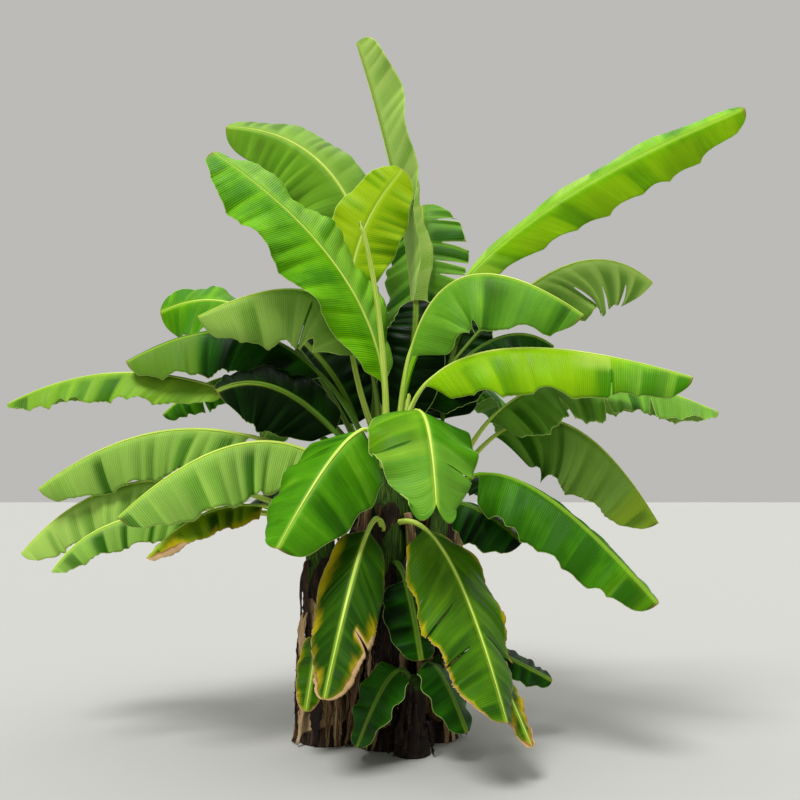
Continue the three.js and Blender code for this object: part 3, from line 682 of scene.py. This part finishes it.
def add_half_blade(pieces, leaf, sign, seed, tone):
    """One half of a blade, from the midrib to the margin, as a closed thin sheet."""
    slits = slits_of(leaf, sign, seed)
    w, t = grid_of(leaf, slits)
    blade, apart, kept = tear_open(leaf, w, t, slits)
    widest = np.clip(blade, FIRST, LAST - leaf.passed / 2 * smooth(blade, NOTCHED_FROM[0], 1))
    if leaf.passed:
        tip = smooth(w, NOTCHED_FROM[1], 1) * np.sin(np.pi * t) ** NOTCHED_ROUND
        blade = between((blade, tip), leaf.passed)
    notch, rise, dark = (v[:, None] for v in lobes(leaf, w[:, 0], seed))
    reach = leaf.width / 2 * outline(widest, leaf.lean) * smooth(blade, 0, BLEND)
    far = reach * t * (1 - margin_of(leaf, w, t, notch))
    angle = hang(leaf, sign, w, t, slits, seed)
    swing = np.sin(2 * np.pi * WAVE_COUNT * blade + sign + leaf.roll)
    creases = LOBE_HEIGHT * leaf.width / 2 * rise * t**CREASE_GROWTH
    creases = creases + ripples(w * leaf.blade_length, t, seed)
    calm = np.minimum(reach / (CALM_WIDTH * leaf.width), 1)
    lift = WAVE_HEIGHT * reach * t**2 * swing + leaf.ruffle * creases * calm - far * np.sin(angle)
    centre, side, normal = leaf.frame(leaf.stalk + blade * (1 - leaf.stalk))
    points = centre + side * (sign * far * np.cos(angle))[..., None] + normal * lift[..., None]

    both, faces = sheet(points, sign, normal * TINY, BLADE_THICKNESS, kept)
    column = 1 if sign > 0 else 0
    uvs = [column_uv(k, BLADE_UVS, t, w) for k in (column, column + 2)]
    slit = apart * leaf.blade_length
    narrow = leaf.opening < 1
    marks = {
        "vein": w * leaf.blade_length * MM + sign * HALVES_APART,
        "rib": far * MM,
        "edge": (reach * (1 - t) if narrow else np.minimum(reach * (1 - t), slit)) * MM / leaf.margin,
        "blade": blade,
        "tone": tone,
        # painted shade in the creases, plus the leaf's own painted shade, which is painted light below 0
        "fold": dark * smooth(t, 0, SHADE_START) * leaf.ruffle**0.5 + leaf.deep,
        "veins": leaf.veins,
        "bloom": leaf.bloom,
        "glow": leaf.glow,
    }
    # a narrow slit gets a painted shadow along it
    if narrow:
        marks["fold"] = marks["fold"] + SLIT_DARKNESS * np.exp(-((slit / SLIT_SHADOW) ** 2))
    patch(leaf, sign, w, t, marks)
    pieces.add(both, sheet_groups(faces, uvs, BLADE_WALL_UV, 1), marks)


def add_rib(pieces, leaf, tone):
    """The stalk and the midrib, a closed tube with a channel along its upper side."""
    count = max(RIB_STATIONS, int(leaf.length / RIB_STATION))
    along = np.linspace(0, 1 - leaf.passed * (1 - leaf.stalk), count)[:, None]
    blade = np.clip((along - leaf.stalk) / (1 - leaf.stalk), 0, 1)
    centre, side, normal = leaf.frame(along)
    bare = 1 - smooth(blade, 0, BLEND)
    radius = STALK_RADIUS * (1 - STALK_TAPER * np.minimum(along / leaf.stalk, 1))
    shown = SUNK_SHARE if leaf.sunk else 1
    wide = radius * between((1, RIB_END), blade**RIB_TAPER)
    wide = wide * between((RIB_SHARE, 1), bare) * between((shown, 1), bare)
    above = between((between(RIB_RISE, blade) * shown, radius), bare)
    below = between((between(RIB_KEEL, blade), radius), bare)
    turn = np.linspace(0, 2 * np.pi, RIB_SIDES, endpoint=False)
    up = np.maximum(np.sin(turn), 0)
    height = above * up - below * np.maximum(-np.sin(turn), 0)
    height = height - CHANNEL * radius * bare * np.exp(-((np.cos(turn) / CHANNEL_WIDTH) ** 2)) * up
    points = centre + side * (np.cos(turn) * wide)[..., None] + normal * height[..., None]
    quads, uvs, ends, uv = tube(along[:, 0], RIB_SIDES, BLADE_UVS - 1, BLADE_UVS, flip=True)
    groups = [(quads, uvs, 2), (ends, [uv[0, :-1], uv[-1, :-1]], 2)]
    marks = {
        "vein": along * leaf.length * MM,
        "rib": turn / (2 * np.pi),
        "edge": 1.0,
        "blade": blade,
        "tone": tone,
        # painted shade on the stalk of a leaf deep in the clump
        "fold": leaf.shaded * (1 - smooth(blade, 0, 2 * BLEND)),
    }
    pieces.add(points, groups, marks)


def make_leaf(stem, row, order, looks):
    leaf = Leaf(stem, row)
    seed = np.random.default_rng(LEAF_SEED + order)
    tone = seed.uniform(0, 1)
    pieces = Pieces(LEAF_MARKS)
    for sign in (1, -1):
        add_half_blade(pieces, leaf, sign, seed, tone)
    add_rib(pieces, leaf, tone)
    upper, under, rib = looks[leaf.tint]
    if leaf.sunk:
        rib = looks["sunk_rib"]
    piece = pieces.make(f"banana_leaf_{leaf.name}", [upper, under, rib])
    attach(piece, "root")
    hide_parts(f"leaf_{leaf.name}")


class Value:
    """What a node puts out, to reckon with as with a number."""

    def __init__(self, look, socket):
        self.look, self.socket = look, socket

    def math(self, operation, other=0.0):
        return self.look.node("ShaderNodeMath", 0, {0: self, 1: other}, operation=operation)

    def __add__(self, other):
        return self.math("ADD", other)

    def __sub__(self, other):
        return self.math("SUBTRACT", other)

    def __mul__(self, other):
        return self.math("MULTIPLY", other)

    def rise(self, low, high):
        """0 where the value is low, 1 where it is high, either way round."""
        inputs = {"Value": self, "From Min": low, "From Max": high}
        return self.look.node("ShaderNodeMapRange", "Result", inputs, interpolation_type="SMOOTHSTEP")


class Look:
    """A material whose nodes are made with few words."""

    def __init__(self, name, specular=0.5, roughness=0.5):
        self.material = bpy.data.materials.new(name)
        self.material.use_nodes = True
        self.tree = self.material.node_tree
        self.shader = self.tree.nodes["Principled BSDF"]
        self.shader.inputs["Roughness"].default_value = roughness
        self.shader.inputs["Specular IOR Level"].default_value = specular

    def put(self, value, socket):
        if isinstance(value, Value):
            self.tree.links.new(value.socket, socket)
        else:
            socket.default_value = value

    def node(self, kind, output, inputs, **settings):
        made = self.tree.nodes.new(kind)
        for name, value in settings.items():
            setattr(made, name, value)
        for name, value in inputs.items():
            self.put(value, made.inputs[name])
        return Value(self, made.outputs[output])

    def marks(self, *names):
        return [self.node("ShaderNodeAttribute", "Fac", {}, attribute_name=name) for name in names]

    def noise(self, x, y, z, scale, detail=3.0):
        place = self.node("ShaderNodeCombineXYZ", 0, {"X": x, "Y": y, "Z": z})
        return self.node("ShaderNodeTexNoise", "Fac", {"Vector": place, "Scale": scale, "Detail": detail})

    def blend(self, share, a, b):
        """Colour a where share is 0 and b where it is 1."""
        inputs = {"Factor": share}
        for socket, colour in (MIX_INPUTS[0], a), (MIX_INPUTS[1], b):
            inputs[socket] = linear(colour) if isinstance(colour, int) else colour
        return self.node("ShaderNodeMix", MIX_OUTPUT, inputs, data_type="RGBA")

    def lay(self, share, colour):
        """Lays a colour over what is there, fully where share is 1."""
        self.colour = self.blend(share, self.colour, colour)

    def finish(self, height, depth):
        self.put(self.colour, self.shader.inputs["Base Color"])
        inputs = {"Height": height, "Distance": depth, "Strength": 1.0}
        self.put(self.node("ShaderNodeBump", "Normal", inputs), self.shader.inputs["Normal"])
        return self.material


def blade_look(name, deep, middle, bright, ages):
    """Streaks along the side veins, painted shade and glow, pale margin, yellow and brown where it ages."""
    look = Look(name, BLADE_SPECULAR)
    vein, rib, edge, blade, tone, fold, veins, bloom, glow = look.marks(*LEAF_MARKS)
    offset = tone * LEAVES_APART
    streaks = (vein, rib * STREAK_STRETCH, offset)
    bands, stripes = (look.noise(*streaks, *noise[:2]) for noise in (BANDS, STRIPES))
    clouds = look.noise(vein, rib, offset, *CLOUDS[:2])
    mixed = bands * BANDS[2] + stripes * STRIPES[2] + clouds * CLOUDS[2] + EVENNESS
    comb = (vein * (2 * math.pi / VEIN_DISTANCE)).math("SINE") * veins
    # the painted shade darkens the green
    mixed = mixed + comb * VEIN_SHARES[0] - fold * PAINTED_SHADE_SHARES[0]
    look.colour = look.blend(mixed.rise(*MIDDLE_RISE), deep, middle)
    look.lay(mixed.rise(*BRIGHT_RISE), bright)
    # wax and glow show less where the shade is painted
    unshaded = (fold * -PAINTED_SHADE_SHARES[1] + 1.0).math("MAXIMUM") + comb * VEIN_SHARES[1]
    bloom = bloom * unshaded
    look.lay(bloom, BLOOM_COLOUR)
    look.lay(glow * unshaded, GLOW_COLOUR)
    look.lay(rib.rise(*BY_RIB) * BY_RIB_SHARE, RIB_COLOURS[0])
    rim_colour = MARGIN_COLOUR
    if ages:
        worn = look.noise(vein, rib, offset, *WORN)
        yellowed = edge - worn.rise(*YELLOW_WORN) * YELLOW_DEPTH
        look.lay(yellowed.rise(*YELLOW_RISE), YELLOW)
        width = worn.rise(*BROWN_WORN) * (blade.rise(*BROWN_TIP) * BROWN_DEPTH)
        crisp = edge - width
        look.lay(crisp.rise(*BROWN_RISE), BROWN)
        edge = edge - width * RIM_WORN
        rim_colour = look.blend(crisp.rise(*CRISP_RISE), MARGIN_COLOUR, CRISP_COLOUR)
    dry = (bloom * -1.0 + NIB_SHARE).math("MAXIMUM")
    look.lay(blade.rise(*NIB_RISE) * dry, BROWN)
    look.lay(edge.rise(*RIM_RISE) * RIM_SHARE, rim_colour)
    look.put(stripes.rise(*SHINE), look.shader.inputs["Roughness"])
    return look.finish(comb * VEIN_SHARES[2] + stripes, BLADE_RELIEF)


def rib_look(name, dark, pale):
    """Stalk and midrib, with fine fibres along them and painted shade on stalks deep in the clump."""
    look = Look(name, RIB_SPECULAR, RIB_ROUGHNESS)
    vein, around, tone, fold = look.marks("vein", "rib", "tone", "fold")
    fibres = look.noise(vein * RIB_FIBRES[0], around * RIB_FIBRES[1], tone, RIB_FIBRES[2])
    look.colour = look.blend(fibres.rise(*RIB_PALE), dark, pale)
    # painted shade on stalks deep in the clump
    look.lay(fold * STALK_SHADE, SHADED_RIB_COLOURS[0])
    lines = look.noise(vein * RIB_LINES[0], around * RIB_LINES[1], 0.0, RIB_LINES[2])
    return look.finish(lines, RIB_RELIEF)


def leaf_looks():
    """Upper side, underside and midrib of each tint."""
    rib = rib_look("midrib", *RIB_COLOURS)
    shaded_rib = rib_look("shaded_midrib", *SHADED_RIB_COLOURS)
    looks = {"sunk_rib": rib_look("sunk_midrib", *SUNK_RIB_COLOURS)}
    for tint, (above, below) in TINTS.items():
        upper = blade_look(f"leaf_{tint}_upper", *above, tint == "old")
        under = blade_look(f"leaf_{tint}_under", *below, tint == "old")
        looks[tint] = (upper, under, shaded_rib if tint == "shade" else rib)
    return looks


def sheaths_of(name, seed):
    """Angle, top and age of the leaf sheaths that wrap a stem, the lowest first."""
    sheaths = []
    for k in range(DEAD_SHEATHS):
        top = STEMS[name][2] * between(DEAD_TOPS, k / (DEAD_SHEATHS - 1)) * seed.uniform(*DEAD_SPREAD)
        age = 1 - DEAD_FRESHENS[0] * (k / DEAD_SHEATHS) ** DEAD_FRESHENS[1]
        sheaths.append((k * GOLDEN, top, age))
    for row in LEAVES[name]:
        leaf = Leaf(name, row)
        out = leaf.start - stem_at(name, leaf.height)[0]
        sheaths.append((math.atan2(out[1], out[0]), leaf.height, FRESH_AGE))
    return sorted(sheaths, key=lambda sheath: sheath[1])


def add_stem(pieces, name, seed):
    """A stem wrapped in leaf sheaths: dried and fibrous on the outside, green near the crown."""
    top = STEMS[name][2]
    height = np.linspace(0, top, int(top / STEM_STATION))[:, None]
    turn = np.linspace(0, 2 * np.pi, STEM_SIDES, endpoint=False)
    centre, radius = stem_at(name, height)
    relief, age, tone = 0 * height * turn, CORE_AGE, CORE_TONE
    for angle, reach, dried in reversed(sheaths_of(name, seed)):
        span = between(SHEATH_SPREAD, 1 - np.clip(height / reach, 0, 1) ** SHEATH_NARROWS)
        away = np.abs((turn - angle + SHEATH_TWIST * height / top + np.pi) % (2 * np.pi) - np.pi)
        ragged = sum(far * np.sin(height / over + angle * differ) for far, over, differ in SHEATH_EDGES)
        cover = smooth(span - away + ragged, 0, SHEATH_EASE) * smooth(reach - height, 0, SHEATH_LIP)
        relief = relief + SHEATH * cover
        age = between((age, dried), cover)
        tone = between((tone, seed.uniform(0, 1) * STRIP_TONES.get(name, 1)), cover)
    relief = relief - relief.mean(axis=1, keepdims=True)
    bend, over, slant = FIBRE_BENDS
    fibres = np.sin(turn * FIBRE_COUNTS[0] + bend * np.sin(height / over))
    fibres = fibres + np.sin(turn * FIBRE_COUNTS[1] - height / slant)
    wide = radius + relief + FIBRE * fibres
    circle = np.stack([np.cos(turn), np.sin(turn)], -1)
    points = centre + np.concatenate([circle * wide[..., None], 0 * wide[..., None]], -1)
    quads, uvs, ends, _ = tube(STEM_UV * height[:, 0] / top, STEM_SIDES, 0, 1)
    cap_size, low_cap, high_cap = CAP_UVS
    cap_uvs = [cap_size * circle[::-1] + low_cap, cap_size * circle + high_cap]
    marks = {"up": height * MM, "around": turn, "age": age, "tone": tone}
    pieces.add(points, [(quads, uvs, 0), (ends, cap_uvs, 0)], marks)


def strip_size(name, seed):
    """Height at which a dried leaf leaves its stem, its length and its width."""
    _, _, top, radii = STEMS[name]
    height = top * seed.uniform(*STRIP_START)
    length = min(seed.uniform(*STRIP_LENGTH) * (top / USUAL_TOP), height - STRIP_FREE[0])
    width = between(STRIP_WIDTH, seed.uniform(0, 1) ** STRIP_SLIM)
    return height, length, width * min(1, radii[0] / USUAL_FOOT) * (top / USUAL_TOP) ** 0.5


def add_dead_strip(pieces, name, seed, order):
    """A dried leaf that bends off its stem and hangs down beside it."""
    height, length, width = strip_size(name, seed)
    angle = seed.uniform(0, 2 * np.pi)
    share = np.linspace(0, 1, STRIP_STATIONS)[:, None]
    across = np.linspace(-1, 1, STRIP_COLUMNS)[None, :]
    part, high, later = STRIP_BEND
    rise = high * np.sin(np.pi * np.minimum(share / part, 1)) * (share < part)
    down = height + rise - length * np.maximum(share - later, 0) / (1 - later)
    centre, radius = stem_at(name, down)
    near, apart, ease = STRIP_OFF
    off = radius + between((near, apart), smooth(share, 0, ease)) + seed.uniform(*STRIP_AWAY) * share
    far, often, begins = STRIP_WAVE
    off = off + far * np.sin(share * seed.uniform(*often) + seed.uniform(*begins))
    far, often = STRIP_SWAY
    sway = angle + far * np.sin(share * seed.uniform(*often)) * share
    least, lean = STRIP_SHAPE
    narrow = width / 2 * between((least, 1), np.sin(np.pi * share**lean))
    narrow = narrow * (1 - STRIP_TAPER[0] * share ** STRIP_TAPER[1])
    deep, often, slant, along, skew = STRIP_CREASES
    crease = seed.uniform(*deep) * np.sin(across * seed.uniform(*often) + share * slant)
    crease = crease * np.cos(share * along + across * skew)
    far, along, skew = STRIP_TEARS
    reach = across * narrow * (1 - far * np.abs(np.sin(share * along + across * skew) * across))
    turned = seed.uniform(-STRIP_TURN, STRIP_TURN) * share
    out = np.stack([np.cos(sway), np.sin(sway), 0 * sway], -1)
    aside = np.stack([-np.sin(sway), np.cos(sway), 0 * sway], -1)
    points = centre * (1, 1, 0) + out * (off + crease + np.abs(reach * np.sin(turned)))[..., None]
    points = points + aside * (reach * np.cos(turned))[..., None]
    dip, often = STRIP_DIP
    points[..., 2] = np.maximum(down + dip * reach * np.sin(share * often), STRIP_FREE[1])
    kept = np.ones((STRIP_STATIONS - 1, STRIP_COLUMNS - 1), bool)
    both, faces = sheet(points, 1, TINY, STRIP_THICKNESS, kept)
    uvs = [column_uv(2 * order + k, 2 * DEAD_STRIPS[name], (across + 1) / 2, share) for k in (0, 1)]
    marks = {
        "up": share * length * MM,
        "around": across * narrow / STRIP_AROUND + angle,
        "age": 1.0,
        "tone": seed.uniform(0, 1) * STRIP_TONES.get(name, 1),
    }
    pieces.add(both, sheet_groups(faces, uvs, STRIP_WALL_UV, 0), marks)


def sheath_look(name):
    """Dried sheaths with fibres along them, green where they are still fresh."""
    look = Look(name, SHEATH_SPECULAR, SHEATH_ROUGHNESS)
    up, around, age, tone = look.marks(*STEM_MARKS)
    noises = []
    for along, across, scale, detail, _ in (SHEATH_FIBRES, SHEATH_BLOTS):
        noises.append(look.noise(around * across, up * along, tone * SHEATHS_APART, scale, detail))
    fibres, blots = noises
    paler = tone.math("POWER", SHEATH_PALE[0]) * SHEATH_PALE[1]
    mixed = fibres * SHEATH_FIBRES[-1] + blots * SHEATH_BLOTS[-1] + paler - SHEATH_DARK
    look.colour, *others = SHEATH_COLOURS
    for ends, colour in zip(SHEATH_RISES, others):
        look.lay(mixed.rise(*ends), colour)
    look.lay(age.rise(*SHEATH_AGES), look.blend(fibres.rise(*SHEATH_GREENS), *SHEATH_GREEN))
    return look.finish(fibres, SHEATH_RELIEF)


def make_stems():
    look = sheath_look("dried_sheaths")
    for order, name in enumerate(STEMS):
        seed = np.random.default_rng(STEM_SEED + order)
        pieces = Pieces(STEM_MARKS)
        add_stem(pieces, name, seed)
        piece = pieces.make(f"banana_stem_{name}", [look])
        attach(piece, "root")
        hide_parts(f"stem_{name}")
        strips = Pieces(STEM_MARKS)
        for k in range(DEAD_STRIPS[name]):
            add_dead_strip(strips, name, seed, k)
        piece = strips.make(f"dead_leaves_{name}", [look])
        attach(piece, "root")


def make_leaves():
    looks = leaf_looks()
    rows = [(stem, row) for stem, leaves in LEAVES.items() for row in leaves]
    for order, (stem, row) in enumerate(rows):
        make_leaf(stem, row, order, looks)


def make_camera():
    camera = add_object("camera", bpy.data.cameras.new("camera"))
    camera.location = CAMERA_PLACE
    camera.rotation_euler = (math.pi / 2 + CAMERA_PITCH, 0, 0)
    camera.data.lens = LENS
    bpy.context.scene.camera = camera


def make_lights():
    for name, (source, width, strength) in LIGHTS.items():
        light = add_object(name, bpy.data.lights.new(name, "SUN"))
        light.data.angle = math.radians(width)
        light.data.energy = strength
        light.rotation_euler = Vector(source).to_track_quat("Z", "Y").to_euler()
    world = bpy.data.worlds.new("studio")
    world.use_nodes = True
    world.node_tree.nodes["Background"].inputs["Color"].default_value = SKY_COLOUR
    world.node_tree.nodes["Background"].inputs["Strength"].default_value = SKY_STRENGTH
    bpy.context.scene.world = world


def make_floor():
    mesh = bpy.data.meshes.new("floor")
    corners = [(x * FLOOR_HALF, y * FLOOR_HALF, 0) for x, y in ((-1, -1), (1, -1), (1, 1), (-1, 1))]
    mesh.from_pydata(corners, [], [(0, 1, 2, 3)])
    look = Look("floor", roughness=FLOOR_ROUGHNESS)
    look.put(linear(FLOOR_COLOUR), look.shader.inputs["Base Color"])
    mesh.materials.append(look.material)
    add_object("floor", mesh)


make_camera()
make_lights()
make_floor()
make_stems()
make_leaves()
bpy.context.scene.view_settings.view_transform = "Standard"
